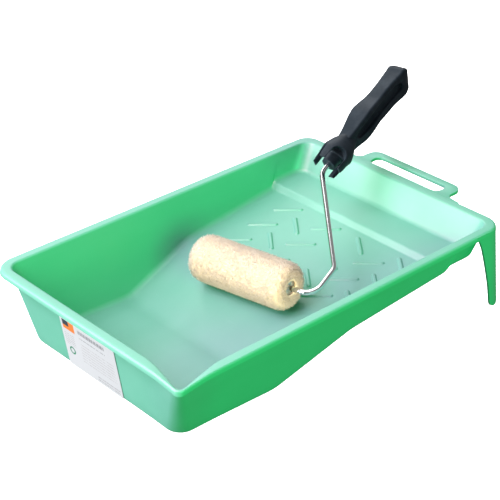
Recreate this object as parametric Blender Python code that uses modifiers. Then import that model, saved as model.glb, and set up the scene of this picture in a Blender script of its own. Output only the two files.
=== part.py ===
"""Paint roller tray with its small roller lying in it, in metres, +Z up.

The tray is one moulding: a flat-bottomed well at the -Y end, a steep and then a gentle ramp,
a step, a shelf, a flange with a turned-down lip, a pouring spout, a carrying loop and two legs.
The roller has a pile cover on a core tube, two bushes, two washers, a bent wire and a handle.
"""

import math

import bmesh
import bpy
from mathutils import Matrix, Vector

MM = 0.001
GAP = 0.3 * MM  # kept between pieces that touch

# Tray. Its drawing has y = 0 half way along the rim and z = 0 on the floor it stands on.
RIM_LENGTH = 392 * MM
RIM_WIDTH = 266 * MM
RIM_HEIGHT_DEEP = 72 * MM
RIM_HEIGHT_SHALLOW = 86.5 * MM
WALL = 2.2 * MM
FLANGE = 10 * MM
LIP_DROP = 5 * MM
LIP_FLARE = 0.8 * MM
WELL_HALF_WIDTH = 103.6 * MM
SIDE_DRAFT = 0.28
LOOP_REACH = 26 * MM
FLOOR_MARGIN = 12 * MM
FRONT, BACK = -RIM_LENGTH / 2, RIM_LENGTH / 2
RIM_SLOPE = (RIM_HEIGHT_SHALLOW - RIM_HEIGHT_DEEP) / RIM_LENGTH
RIM_CENTRE_Y = 120 * MM  # puts the origin under the middle of the well

# The floor's inner surface along y, and the radius at each turn.
FLOOR_LINE = [(-173.5, 2.2), (-66, 2.2), (16, 33.5), (131, 50.5), (134.5, 56.5), (172, 58.5)]
FLOOR_TURNS = [0, 40, 60, 2.5, 3, 0]

# Grip ribs on the gentle ramp: each column's distance from the pattern's centre line, then its rows.
RIB_COLUMNS = [(23, (46, 80, 114)), (49.8, (32, 65.5, 99)), (77.5, (46, 80, 114))]
RIB_CENTRE = 3.5
RIB_LENGTH, RIB_WIDTH, RIB_HEIGHT = 30 * MM, 4 * MM, 1.3 * MM
RIB_ANGLE = math.radians(39)

# Roller. Its drawing has x along the axle, y towards the handle and z across the wire's plane.
COVER_LENGTH, COVER_RADIUS = 114 * MM, 23.5 * MM
CORE_LENGTH, CORE_RADIUS, CORE_BORE = 96 * MM, 9.5 * MM, 8 * MM
WIRE_RADIUS = 2.5 * MM
ROLLER_PLACE = (-2.9 * MM, -5.5 * MM)
ROLLER_YAW = math.radians(8.1)
HANDLE_PITCH = math.radians(26.1)
RAMP_GAP = 0.5 * MM
BOW_WIDTH, BOW_RISE, NECK_START, NECK_SIDE = 79.5 * MM, 34.5 * MM, 130.7 * MM, -1.6 * MM
HANDLE_START, SOCKET_DEPTH = 8.5 * MM, 61 * MM  # from the neck's corner, and from there into the handle
HANDLE_TURN = math.radians(0.8)
NOTCH_HALF_WIDTH, NOTCH_DEPTH, END_SLANT = 8 * MM, 18.5 * MM, 0.3


def clear_scene():
    for item in list(bpy.data.objects):
        bpy.data.objects.remove(item, do_unlink=True)


def new_collection(name):
    collection = bpy.data.collections.new(name)
    bpy.context.scene.collection.children.link(collection)
    return collection


def material(name, colour, roughness, metallic=0.0):
    made = bpy.data.materials.new(name)
    made.use_nodes = True
    shader = made.node_tree.nodes["Principled BSDF"]
    shader.inputs["Base Color"].default_value = (*colour, 1)
    shader.inputs["Roughness"].default_value = roughness
    shader.inputs["Metallic"].default_value = metallic
    return made


def add_object(name, data, collection, parent=None):
    item = bpy.data.objects.new(name, data)
    collection.objects.link(item)
    item.parent = parent
    return item


def as_mesh(item):
    """Replaces a curve object by its welded mesh, so that a Boolean can use it."""
    bpy.context.view_layer.update()
    graph = bpy.context.evaluated_depsgraph_get()
    data = bpy.data.meshes.new_from_object(item.evaluated_get(graph))
    shape = bmesh.new()
    shape.from_mesh(data)
    bmesh.ops.remove_doubles(shape, verts=shape.verts, dist=1e-6)
    bmesh.ops.recalc_face_normals(shape, faces=shape.faces)
    shape.to_mesh(data)
    shape.free()
    name, collection = item.name, item.users_collection[0]
    parent, place = item.parent, item.matrix_basis.copy()
    bpy.data.objects.remove(item)
    made = add_object(name, data, collection, parent)
    made.matrix_basis = place
    return made


def helper(item):
    item.hide_render = True
    item.display_type = "WIRE"
    return item


def boolean(item, other, operation):
    modifier = item.modifiers.new(operation.lower(), "BOOLEAN")
    modifier.operation = operation
    modifier.solver = "EXACT"
    modifier.object = helper(other)


def smooth(item, angle=35):
    item.data.shade_smooth()
    item.data.set_sharp_from_angle(angle=math.radians(angle))


def rounded(points, radii, steps):
    """A polyline with an arc of that radius at each inner point, cut short where a leg has no room."""
    points = [Vector(p) for p in points]
    line = [points[0]]
    for before, corner, after, radius in zip(points, points[1:], points[2:], radii[1:-1]):
        into, out = (corner - before), (after - corner)
        turn = into.angle(out, 0.0)
        if radius <= 0 or turn < 1e-4:
            line.append(corner)
            continue
        reach = min(radius * math.tan(turn / 2), 0.45 * into.length, 0.45 * out.length)
        radius = reach / math.tan(turn / 2)
        start, end = corner - into.normalized() * reach, corner + out.normalized() * reach
        inwards = (start + end) / 2 - corner
        centre = corner + inwards.normalized() * (radius / math.cos(turn / 2))
        for step in range(steps + 1):
            arm = (start - centre).normalized().slerp((end - centre).normalized(), step / steps)
            line.append(centre + arm * radius)
    line.append(points[-1])
    return line


def floor_points(steps):
    line = [(0, y * MM, z * MM) for y, z in FLOOR_LINE]
    return rounded(line, [r * MM for r in FLOOR_TURNS], steps)


def floor_height(y, line):
    for before, after in zip(line, line[1:]):
        if y <= after.y:
            share = (y - before.y) / (after.y - before.y)
            return before.z + max(share, 0.0) * (after.z - before.z)
    return line[-1].z


def rim_height(y):
    return RIM_HEIGHT_DEEP + (y - FRONT) * RIM_SLOPE


class Outline:
    """A rounded rectangle seen from above, with points named the same way on every ring of the tray."""

    def __init__(self, front, back, half_width, corners):
        self.front, self.back, self.half_width, self.corners = front, back, half_width, corners

    def point(self, part, side, share):
        near = part.startswith("front")
        radius = self.corners[0 if near else 1][0 if side < 0 else 1]
        end = self.front if near else self.back
        inward = 1 if near else -1
        if part == "side":
            low, high = self.front + self.corners[0][side > 0], self.back - self.corners[1][side > 0]
            y = low + share * (high - low)
            return Vector((side * self.half_width(y), y, 0))
        centre_x = self.half_width(end) - radius
        if part.endswith("edge"):
            left = self.half_width(end) - self.corners[0 if near else 1][0]
            right = self.half_width(end) - self.corners[0 if near else 1][1]
            return Vector((-left + (share + 1) / 2 * (left + right), end, 0))
        turn = share * math.pi / 2
        x = side * (centre_x + radius * math.sin(turn))
        return Vector((x, end + inward * (radius - radius * math.cos(turn)), 0))


def ring_names(side_shares, edge_shares, corner_steps):
    """The tray's ring, once round: front edge, right side, back edge, left side."""
    arcs = [step / corner_steps for step in range(corner_steps + 1)]
    names = [("front edge", 0, share) for share in edge_shares[1:-1]]
    names += [("front corner", 1, share) for share in arcs]
    names += [("side", 1, share) for share in side_shares[1:-1]]
    names += [("back corner", 1, share) for share in reversed(arcs)]
    names += [("back edge", 0, share) for share in reversed(edge_shares[1:-1])]
    names += [("back corner", -1, share) for share in arcs]
    names += [("side", -1, share) for share in reversed(side_shares[1:-1])]
    names += [("front corner", -1, share) for share in reversed(arcs)]
    return names


def tray_section(name, line):
    """One section through floor edge, wall, flange and lip, as points from the inside outwards."""
    floor_edge = FLOOR_OUTLINE.point(*name)
    inner = FLOOR_INSET.point(*name)
    top = FLANGE_INNER.point(*name)
    outer = RIM_OUTER.point(*name)
    flange_width = (outer - top).length
    away = (outer - top).normalized()
    spout = max(0.0, 1 - (outer - SPOUT_TIP).length / SPOUT_REACH)
    top += away * flange_width * 0.86 * spout
    sink = SPOUT_DEPTH * spout ** 1.5
    for point, height in ((inner, 0), (floor_edge, 0)):
        point.z = floor_height(point.y, line)
    top.z = rim_height(top.y) - sink
    outer.z = rim_height(outer.y) - sink
    lip = outer + away * LIP_FLARE
    lip.z = outer.z - LIP_DROP
    radii = [0, 6 * MM, 3 * MM, 3 * MM, 0]
    return rounded([inner, floor_edge, top, outer, lip], radii, 2)


def side_half_width(y):
    return WELL_HALF_WIDTH + SIDE_DRAFT * (floor_height(y, FLOOR_PATH) - FLOOR_PATH[0].z)


FLOOR_PATH = floor_points(3)
SPOUT_TIP = Vector((RIM_WIDTH / 2, FRONT, 0))
SPOUT_REACH = 36 * MM
SPOUT_DEPTH = 4 * MM
FLOOR_OUTLINE = Outline(-173.5 * MM, 172 * MM, side_half_width, [(15 * MM, 14 * MM), (14 * MM, 14 * MM)])
FLOOR_INSET = Outline(
    -173.5 * MM + FLOOR_MARGIN,
    172 * MM - FLOOR_MARGIN,
    lambda y: side_half_width(y) - FLOOR_MARGIN,
    [(5 * MM, 5 * MM), (4 * MM, 4 * MM)],
)
FLANGE_INNER = Outline(
    FRONT + FLANGE, BACK - FLANGE, lambda y: RIM_WIDTH / 2 - FLANGE,
    [(12 * MM, 10 * MM), (12 * MM, 12 * MM)],
)
RIM_OUTER = Outline(FRONT, BACK, lambda y: RIM_WIDTH / 2, [(21 * MM, 7 * MM), (15 * MM, 20 * MM)])


def tray_skin(collection, datum):
    """The tray's inner surface as one open sheet: the floor's grid, then a section at each ring point."""
    low, high = FLOOR_INSET.front + 5 * MM, FLOOR_INSET.back - 4 * MM
    stations = [p.y for p in FLOOR_PATH if low < p.y < high]
    stations += [(y * MM) for y in (-142, -128, -100, -40, -15, 40, 70, 100, 145)]
    side_shares = [0] + [(y - low) / (high - low) for y in sorted(stations)] + [1]
    edge_shares = [-1, -0.8, -0.5, -0.2, 0.1, 0.4, 0.6, 0.75, 0.88, 1]
    names = ring_names(side_shares, edge_shares, 3)
    shape = bmesh.new()
    rings = [[shape.verts.new(p) for p in tray_section(name, FLOOR_PATH)] for name in names]
    for here, after in zip(rings, rings[1:] + rings[:1]):
        for a, b, c, d in zip(here, after, after[1:], here[1:]):
            shape.faces.new((a, b, c, d))
    inner = {name: ring[0] for name, ring in zip(names, rings)}
    left = [n for n in reversed(names) if n[1] == -1]
    right = [n for n in names if n[1] == 1]
    rows = []
    for row, (first, last) in enumerate(zip(left, right)):
        start, end = inner[first], inner[last]
        middle = []
        for share in edge_shares[1:-1]:
            if row == 0 or row == len(left) - 1:
                middle.append(inner[("front edge" if row == 0 else "back edge", 0, share)])
            else:
                middle.append(shape.verts.new(start.co.lerp(end.co, (share + 1) / 2)))
        rows.append([start, *middle, end])
    for here, after in zip(rows, rows[1:]):
        for a, b, c, d in zip(here, here[1:], after[1:], after):
            shape.faces.new((a, b, c, d))
    bmesh.ops.recalc_face_normals(shape, faces=shape.faces)
    data = bpy.data.meshes.new("tray_shell")
    shape.to_mesh(data)
    shape.free()
    if data.polygons[-1].normal.z < 0:
        data.flip_normals()
    tray = add_object("tray_shell", data, collection, datum)
    shell = tray.modifiers.new("wall", "SOLIDIFY")
    shell.thickness = WALL
    shell.offset = -1
    shell.use_even_offset = True
    return tray


def flat_outline(name, loops, thickness, collection, parent):
    """A plate with its outline, and any holes, as closed POLY splines."""
    curve = bpy.data.curves.new(name, "CURVE")
    curve.dimensions = "2D"
    curve.fill_mode = "BOTH"
    curve.extrude = thickness / 2
    for loop in loops:
        spline = curve.splines.new("POLY")
        spline.points.add(len(loop) - 1)
        for point, place in zip(spline.points, loop):
            point.co = (place[0], place[1], 0, 1)
        spline.use_cyclic_u = True
    return add_object(name, curve, collection, parent)


def rounded_loop(corners, radii, steps):
    """A closed outline with rounded corners."""
    corners = [(x, y, 0) for x, y in corners]
    loop = []
    for index, radius in enumerate(radii):
        three = [corners[index - 1], corners[index], corners[(index + 1) % len(corners)]]
        loop += rounded(three, [0, radius, 0], steps)[1:-1]
    return loop


def carrying_loop(collection, datum):
    """The flat loop beyond the shallow end, level with the rim."""
    reach = BACK + LOOP_REACH
    outside = [(-76, 189), (-76, 197), (-59, 199), (-59, 0), (59, 0), (59, 199), (76, 197), (76, 189)]
    outside = [(x * MM, y * MM if y else reach) for x, y in outside]
    outer = rounded_loop(outside, [0, 1 * MM, 7 * MM, 13 * MM, 13 * MM, 7 * MM, 1 * MM, 0], 4)
    slot_low, slot_high = BACK + 2 * MM, reach - 8.6 * MM
    slot = [(-46 * MM, slot_low), (-46 * MM, slot_high), (46 * MM, slot_high), (46 * MM, slot_low)]
    hole = rounded_loop(slot, [6 * MM] * 4, 4)
    thickness = 3.4 * MM
    loop = flat_outline("carrying_loop", [outer, hole], thickness, collection, datum)
    loop.rotation_euler.x = math.atan(RIM_SLOPE)
    loop.location.z = rim_height(0) - 0.25 * MM - thickness / 2
    return as_mesh(loop)


def rim_walk(side):
    """A function giving the rim's outer line at the shallow end by distance from the corner's middle."""
    radius = RIM_OUTER.corners[1][side > 0]
    arc = radius * math.pi / 4
    centre = Vector((RIM_WIDTH / 2 - radius, BACK - radius, 0))

    def at(distance, flare):
        if abs(distance) <= arc:
            turn = math.pi / 4 + distance / radius
            outward = Vector((math.cos(turn), math.sin(turn), 0))
            place = centre + outward * radius
        elif distance < 0:
            outward = Vector((1, 0, 0))
            place = centre + Vector((radius, distance + arc, 0))
        else:
            outward = Vector((0, 1, 0))
            place = centre + Vector((arc - distance, radius, 0))
        place += outward * flare
        return Vector((side * place.x, place.y, 0))

    return at


def leg(side, collection, datum):
    """A bent plate that wraps the rim's corner and narrows to a round foot."""
    widths = [(84.5, 34), (79, 30.2), (70, 26), (60, 23), (52, 20.8), (40, 17.8), (26, 14.7)]
    widths += [(14, 12.8), (7, 12), (3, 10.5), (1.1, 7.5), (0.3, 4.5)]
    at = rim_walk(side)
    shape = bmesh.new()
    rows = []
    for height, half in widths:
        lean = 1 - height / 84.5
        flare = LIP_FLARE - 0.6 * MM + 4 * MM * lean
        row = []
        for step in range(-5, 6):
            point = at((step / 5 * half - 5 * lean) * MM, flare)
            point += Vector((-3 * side, 9, 0)) * MM * lean
            point.z = height * MM
            row.append(shape.verts.new(point))
        rows.append(row)
    for here, after in zip(rows, rows[1:]):
        for a, b, c, d in zip(here, here[1:], after[1:], after):
            shape.faces.new((a, b, c, d))
    bmesh.ops.recalc_face_normals(shape, faces=shape.faces)
    data = bpy.data.meshes.new("leg")
    shape.to_mesh(data)
    shape.free()
    if data.polygons[0].normal.x * side < 0:
        data.flip_normals()
    made = add_object("leg_left" if side < 0 else "leg_right", data, collection, datum)
    plate = made.modifiers.new("plate", "SOLIDIFY")
    plate.thickness = 2.4 * MM
    plate.offset = -1
    return made


def grip_ribs(collection, datum):
    """Eighteen round-ended ribs in a V pattern, mirrored about its centre line."""
    start, end = Vector((0, *FLOOR_LINE[2])) * MM, Vector((0, *FLOOR_LINE[3])) * MM
    slope = math.atan2(end.z - start.z, end.y - start.y)
    thickness = RIB_HEIGHT + 1.2 * MM
    half, cap = RIB_LENGTH / 2 - RIB_WIDTH / 2, RIB_WIDTH / 2
    outline = []
    for end_x, first in ((half, -90), (-half, 90)):
        for step in range(5):
            turn = math.radians(first + step * 45)
            outline.append((end_x + cap * math.cos(turn), cap * math.sin(turn)))
    master = as_mesh(flat_outline("grip_ribs", [outline], thickness, collection, datum))
    shape = bmesh.new()
    for column, (across, rows) in enumerate(RIB_COLUMNS):
        for along in rows:
            for side in (-1, 1):
                turn = RIB_ANGLE * (1 if column % 2 else -1) * side
                lift = start.z + (along * MM - start.y) * math.tan(slope) + RIB_HEIGHT - thickness / 2
                place = Matrix.Translation(((RIB_CENTRE + side * across) * MM, along * MM, lift))
                place @= Matrix.Rotation(slope, 4, "X") @ Matrix.Rotation(turn, 4, "Z")
                fresh = bmesh.new()
                fresh.from_mesh(master.data)
                fresh.transform(place)
                piece = bpy.data.meshes.new("rib")
                fresh.to_mesh(piece)
                fresh.free()
                shape.from_mesh(piece)
                bpy.data.meshes.remove(piece)
    shape.to_mesh(master.data)
    shape.free()
    return master


def tray_shell(collection, helpers, datum, plastic):
    tray = tray_skin(collection, datum)
    boolean(tray, carrying_loop(helpers, datum), "UNION")
    for side in (-1, 1):
        boolean(tray, leg(side, helpers, datum), "UNION")
    boolean(tray, grip_ribs(helpers, datum), "UNION")
    tray.data.materials.append(plastic)
    smooth(tray)
    return tray


def label(collection, datum, paper):
    """A paper label on the outside of the deep end's wall."""
    width, height, thickness = 78 * MM, 54 * MM, 0.3 * MM
    foot = Vector((0, FLOOR_OUTLINE.front, FLOOR_PATH[0].z))
    head = Vector((0, FRONT + FLANGE, rim_height(FRONT + FLANGE)))
    up = (head - foot).normalized()
    out = Vector((0, -up.z, up.y))
    centre = foot + up * (29 * MM) + out * (WALL + GAP + thickness / 2)
    bpy.ops.mesh.primitive_cube_add(size=1)
    plate = bpy.context.active_object
    plate.name = plate.data.name = "label"
    for owner in list(plate.users_collection):
        owner.objects.unlink(plate)
    collection.objects.link(plate)
    plate.data.transform(Matrix.Diagonal((width, height, thickness, 1)))
    plate.parent = datum
    axes = Matrix((Vector((1, 0, 0)), up, Vector((1, 0, 0)).cross(up))).transposed()
    plate.matrix_basis = Matrix.Translation(centre + Vector((-5 * MM, 0, 0))) @ axes.to_4x4()
    plate.data.materials.append(paper)
    return plate


def roller_datum(parent):
    """An empty at the middle of the axle: x along the axle, y towards the handle."""
    (y0, z0), (y1, z1) = FLOOR_LINE[1], FLOOR_LINE[2]
    slope = (z1 - z0) / (y1 - y0)
    x, y = ROLLER_PLACE
    clearance = (COVER_RADIUS + RAMP_GAP) * math.sqrt(1 + slope * slope)
    centre = Vector((x, y, z1 * MM + (y - y1 * MM) * slope + clearance))
    axle = Vector((math.cos(ROLLER_YAW), math.sin(ROLLER_YAW), math.sin(ROLLER_YAW) * slope)).normalized()
    level = Vector((0, 0, 1)).cross(axle).normalized()
    upward = axle.cross(level)
    forward = level * math.cos(HANDLE_PITCH) + upward * math.sin(HANDLE_PITCH)
    turn = Matrix((axle, forward, axle.cross(forward))).transposed().to_4x4()
    empty = bpy.data.objects.new("roller_datum", None)
    bpy.context.scene.collection.objects.link(empty)
    empty.parent = parent
    empty.matrix_basis = Matrix.Translation(centre) @ turn
    return empty


def turned(name, profile, steps, collection, parent, turn="X"):
    """A body of revolution. The profile's points are (radius, distance along the axis), in metres."""
    data = bpy.data.meshes.new(name)
    closed = profile[0][0] > 0 or profile[-1][0] > 0
    count = len(profile)
    edges = [(i, i + 1) for i in range(count - 1)] + ([(count - 1, 0)] if closed else [])
    data.from_pydata([(r, 0, z) for r, z in profile], edges, [])
    made = add_object(name, data, collection, parent)
    screw = made.modifiers.new("turn", "SCREW")
    screw.axis = "Z"
    screw.steps = screw.render_steps = steps
    screw.use_merge_vertices = True
    screw.merge_threshold = 0.00001
    if turn == "X":
        made.rotation_euler.y = math.radians(90)
    else:
        made.rotation_euler.x = math.radians(-90)
    return made


def ring_profile(bore, radius, low, high):
    """A plain ring: outer side first, top to bottom, then back up the bore."""
    return [(radius, high), (radius, low), (bore, low), (bore, high)]


def roller_cover(collection, datum, pile, board, nylon):
    half, shoulder = COVER_LENGTH / 2, 9 * MM
    bore = CORE_RADIUS + GAP
    arc = []
    for step in range(4):
        turn = math.radians(90 - step * 30)
        out, along = shoulder * math.cos(turn), shoulder * math.sin(turn)
        arc.append((COVER_RADIUS - shoulder + out, half - shoulder + along))
    profile = arc + [(r, -z) for r, z in reversed(arc)] + [(bore, -half), (bore, half)]
    cover = turned("pile_cover", profile, 40, collection, datum)
    cover.data.materials.append(pile)
    tube = ring_profile(CORE_BORE, CORE_RADIUS, -CORE_LENGTH / 2, CORE_LENGTH / 2)
    core = turned("core_tube", tube, 24, collection, datum)
    core.data.materials.append(board)
    for name, side in (("bush_near", 1), ("bush_far", -1)):
        inner, step = CORE_LENGTH / 2 - 14 * MM, CORE_LENGTH / 2 + GAP
        face = step + 2 * MM
        shank, flange, bore = CORE_BORE - GAP, CORE_RADIUS - 0.2 * MM, WIRE_RADIUS + GAP
        profile = [(flange, face), (flange, step), (shank, step)]
        profile += [(shank, inner), (bore, inner), (bore, face)]
        bush = turned(name, profile, 24, collection, datum)
        bush.rotation_euler.y = math.radians(90 * side)
        bush.data.materials.append(nylon)


def washers(collection, datum, steel):
    low = CORE_LENGTH / 2 + 2 * MM + 2 * GAP
    for name, side in (("washer_near", 1), ("washer_far", -1)):
        washer = turned(
            name, ring_profile(WIRE_RADIUS + GAP, 6 * MM, low, low + 1 * MM), 24, collection, datum
        )
        washer.rotation_euler.y = math.radians(90 * side)
        washer.data.materials.append(steel)
    return low + 1 * MM


def stem_point(distance):
    """A point on the stem's centre line, at that distance past the neck's corner."""
    return (NECK_SIDE + distance * math.sin(HANDLE_TURN), NECK_START + distance * math.cos(HANDLE_TURN), 0)


def wire_frame(collection, helpers, datum, steel, stop):
    """The bent wire: axle, bow and the stem that is buried in the handle."""
    tip = stop + 4.2 * MM
    corners = [(-tip, 0, 0), (BOW_WIDTH, 0, 0), (BOW_WIDTH, BOW_RISE, 0), (NECK_SIDE, NECK_START, 0)]
    corners.append(stem_point(HANDLE_START + SOCKET_DEPTH))
    line = rounded(corners, [0, 14 * MM, 10 * MM, 14 * MM, 0], 6)
    curve = bpy.data.curves.new("wire_frame", "CURVE")
    curve.dimensions = "3D"
    curve.bevel_depth = WIRE_RADIUS
    curve.bevel_resolution = 2
    curve.use_fill_caps = True
    spline = curve.splines.new("POLY")
    spline.points.add(len(line) - 1)
    for point, place in zip(spline.points, line):
        point.co = (*place, 1)
    wire = as_mesh(add_object("wire_frame", curve, collection, datum))
    crimp_profile = [(0, 2.4 * MM), (3.7 * MM, 2 * MM), (3.7 * MM, 0.4 * MM), (0, 0)]
    crimp = turned("crimp", crimp_profile, 16, helpers, datum)
    crimp.location.x = stop + GAP
    boolean(wire, crimp, "UNION")
    wire.data.materials.append(steel)
    smooth(wire)
    nut_profile = [
        (0, 5.2 * MM),
        (2.6 * MM, 5 * MM),
        (4.6 * MM, 3.6 * MM),
        (5.4 * MM, 0),
        (WIRE_RADIUS + GAP, 0),
        (WIRE_RADIUS + GAP, 4.2 * MM),
        (0, 4.2 * MM),
    ]
    nut = turned("push_nut", nut_profile, 24, collection, datum)
    nut.rotation_euler.y = math.radians(-90)
    nut.location.x = -(stop + GAP)
    nut.data.materials.append(steel)


def grip_section(half_width, top, bottom, radius, steps):
    """A rounded rectangle across the handle, as (x, z) points."""
    points = []
    for corner, (side, height) in enumerate(((1, top), (-1, top), (-1, -bottom), (1, -bottom))):
        inset = math.copysign(radius, height)
        for step in range(steps + 1):
            turn = math.radians(90 * corner + 90 * step / steps)
            x = side * (half_width - radius) + radius * math.cos(turn)
            points.append((x, height - inset + radius * math.sin(turn)))
    return points


def grip_body(collection, datum):
    """A loft of rounded sections, thickest where the palm rests, with a slanted end."""
    # Distance along the handle, half width, and height above and below the wire's plane.
    sections = [
        (16, 7.2, 8.4, 8.8), (32, 7.2, 8.6, 9.6), (42, 8, 10, 10.8), (50, 9, 11.8, 12.2),
        (58, 10.1, 13.3, 12), (66, 10.7, 14.2, 10.8), (76, 9.9, 13.4, 10.4), (86, 8.9, 12.1, 12),
        (98, 8.5, 12, 12.8), (110, 8.7, 12.1, 13.4), (124, 9.7, 12, 14.4), (131, 9.9, 11.9, 14.6),
        (135.5, 8.7, 8.6, 13.4),
    ]
    slanted_from, slanted_to = 100, 124
    shape = bmesh.new()
    rings = []
    for along, half_width, top, bottom in sections:
        share = min(max((along - slanted_from) / (slanted_to - slanted_from), 0), 1)
        ring = []
        for x, z in grip_section(half_width * MM, top * MM, bottom * MM, 3 * MM, 3):
            slant = END_SLANT * share * (z - top * MM)
            ring.append(shape.verts.new((x, along * MM + slant, z)))
        rings.append(ring)
    for here, after in zip(rings, rings[1:]):
        for a, b, c, d in zip(here, here[1:] + here[:1], after[1:] + after[:1], after):
            shape.faces.new((a, b, c, d))
    shape.faces.new(rings[0])
    shape.faces.new(rings[-1])
    bmesh.ops.recalc_face_normals(shape, faces=shape.faces)
    data = bpy.data.meshes.new("handle")
    shape.to_mesh(data)
    shape.free()
    return add_object("handle", data, collection, datum)


def handle(collection, helpers, datum, plastic):
    """The grip, with a flared guard at its front end that four notches cut into prongs."""
    grip = grip_body(collection, datum)
    outside = [(0, 40), (8, 40), (10.2, 34), (13.1, 28), (15.6, 20.5), (16.8, 14), (16.2, 6), (15.8, 0)]
    inside = [(13.2, 0), (13.6, 11), (12.4, 13.5), (7.8, 13.5), (7.4, 3), (0, 3)]
    guard = turned("guard", [(r * MM, z * MM) for r, z in outside + inside], 32, helpers, datum, turn="Y")
    boolean(grip, guard, "UNION")
    half, clear, middle = NOTCH_HALF_WIDTH, -10 * MM, 16 * MM
    corners = [(-half, clear), (half, clear), (half, NOTCH_DEPTH), (-half, NOTCH_DEPTH)]
    outline = rounded_loop(corners, [0, 0, 0.95 * half, 0.95 * half], 4)
    for turn in (45, 135, 225, 315):
        notch = as_mesh(flat_outline(f"notch_{turn}", [outline], 14 * MM, helpers, datum))
        turned_by = Matrix.Rotation(math.radians(turn), 4, "Y")
        notch.matrix_basis = turned_by @ Matrix.Translation((0, 0, middle))
        boolean(grip, notch, "DIFFERENCE")
    bore, bottom = WIRE_RADIUS + GAP, SOCKET_DEPTH + 1 * MM
    profile = [(0, bottom), (bore, bottom), (bore, 2 * MM), (0, 2 * MM)]
    socket = turned("socket", profile, 16, helpers, datum, turn="Y")
    boolean(grip, socket, "DIFFERENCE")
    grip.data.materials.append(plastic)
    smooth(grip)


def main():
    clear_scene()
    parts = new_collection("paint_roller_tray")
    helpers = new_collection("cutters_and_guides")
    green = material("green_polypropylene", (0.2, 0.68, 0.42), 0.42)
    paper = material("label_paper", (0.93, 0.93, 0.91), 0.55)
    pile = material("cream_pile", (0.95, 0.83, 0.62), 0.95)
    board = material("core_plastic", (0.86, 0.84, 0.78), 0.6)
    nylon = material("bush_nylon", (0.9, 0.9, 0.87), 0.45)
    zinc = material("bright_steel", (0.78, 0.79, 0.8), 0.22, 1.0)
    black = material("black_plastic", (0.03, 0.035, 0.04), 0.45)

    datum = bpy.data.objects.new("tray_datum", None)
    bpy.context.scene.collection.objects.link(datum)
    datum.location.y = RIM_CENTRE_Y
    tray_shell(parts, helpers, datum, green)
    label(parts, datum, paper)
    roller = roller_datum(datum)
    roller_cover(parts, roller, pile, board, nylon)
    stop = washers(parts, roller, zinc)
    wire_frame(parts, helpers, roller, zinc, stop)
    grip = bpy.data.objects.new("handle_datum", None)
    bpy.context.scene.collection.objects.link(grip)
    grip.parent = roller
    grip.location = stem_point(HANDLE_START)
    grip.rotation_euler.z = -HANDLE_TURN
    handle(parts, helpers, grip, black)
    bpy.context.view_layer.update()


main()
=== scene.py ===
import math

import bmesh
import bpy
import numpy as np
from mathutils import Matrix, Vector, noise


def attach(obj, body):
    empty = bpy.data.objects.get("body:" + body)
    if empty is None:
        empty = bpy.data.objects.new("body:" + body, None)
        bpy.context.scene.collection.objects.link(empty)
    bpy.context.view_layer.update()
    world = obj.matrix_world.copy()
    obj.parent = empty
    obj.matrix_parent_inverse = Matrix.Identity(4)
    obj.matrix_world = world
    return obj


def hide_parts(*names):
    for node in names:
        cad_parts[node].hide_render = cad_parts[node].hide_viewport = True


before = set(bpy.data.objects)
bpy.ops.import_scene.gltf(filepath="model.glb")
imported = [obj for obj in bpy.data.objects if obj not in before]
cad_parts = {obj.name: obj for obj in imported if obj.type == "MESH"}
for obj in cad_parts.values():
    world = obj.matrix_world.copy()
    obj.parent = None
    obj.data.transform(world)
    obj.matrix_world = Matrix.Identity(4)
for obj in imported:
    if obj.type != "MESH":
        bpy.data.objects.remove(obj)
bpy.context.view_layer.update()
mm = 0.001
noise.seed_set(7)  # tufts lean the same way on every run
print("frame loaded:", ", ".join(sorted(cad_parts)))


class Link:
    # wraps one socket, so that sums on it add the nodes they need
    def __init__(self, shader, socket):
        self.shader, self.socket = shader, socket

    def sum(self, operation, other, turned=False):
        pair = [other, self] if turned else [self, other]
        return self.shader.node("ShaderNodeMath", {"operation": operation}, dict(enumerate(pair)))

    def __add__(self, other):
        return self.sum("ADD", other)

    def __radd__(self, other):
        return self.sum("ADD", other, True)

    def __sub__(self, other):
        return self.sum("SUBTRACT", other)

    def __rsub__(self, other):
        return self.sum("SUBTRACT", other, True)

    def __mul__(self, other):
        return self.sum("MULTIPLY", other)

    def __rmul__(self, other):
        return self.sum("MULTIPLY", other, True)

    def __truediv__(self, other):
        return self.sum("DIVIDE", other)

    def __pow__(self, other):
        return self.sum("POWER", other)

    def __gt__(self, other):
        return self.sum("GREATER_THAN", other)

    def __lt__(self, other):
        return self.sum("LESS_THAN", other)

    def limited(self):
        return self.shader.node("ShaderNodeClamp", {}, {"Value": self})

    def spread(self, low, high, toLow=0.0, toHigh=1.0):
        inputs = {"Value": self, "From Min": low, "From Max": high, "To Min": toLow, "To Max": toHigh}
        return self.shader.node("ShaderNodeMapRange", {"interpolation_type": "SMOOTHSTEP"}, inputs)


class Nodes:
    # a node tree, in which every node comes from the one method
    def __init__(self, owner):
        owner.use_nodes = True
        self.tree = owner.node_tree
        self.tree.nodes.clear()

    def node(self, kind, settings, inputs, output=0):
        made = self.tree.nodes.new(kind)
        for key, value in settings.items():
            if key == "stops":
                for stop, (place, colour) in zip(self.rampStops(made, len(value)), value):
                    stop.position, stop.color = place, (*colour, 1)
            else:
                setattr(made, key, value)
        for key, value in inputs.items():
            self.feed(made.inputs[key], value)
        if not made.outputs:
            return None
        return Link(self, made.outputs[output])

    def rampStops(self, ramp, count):
        while len(ramp.color_ramp.elements) < count:
            ramp.color_ramp.elements.new(0.5)
        return list(ramp.color_ramp.elements)

    def feed(self, socket, value):
        if isinstance(value, Link):
            self.tree.links.new(value.socket, socket)
        elif isinstance(value, tuple) and socket.type == "RGBA":
            socket.default_value = (*value, 1)
        else:
            socket.default_value = value


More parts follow.
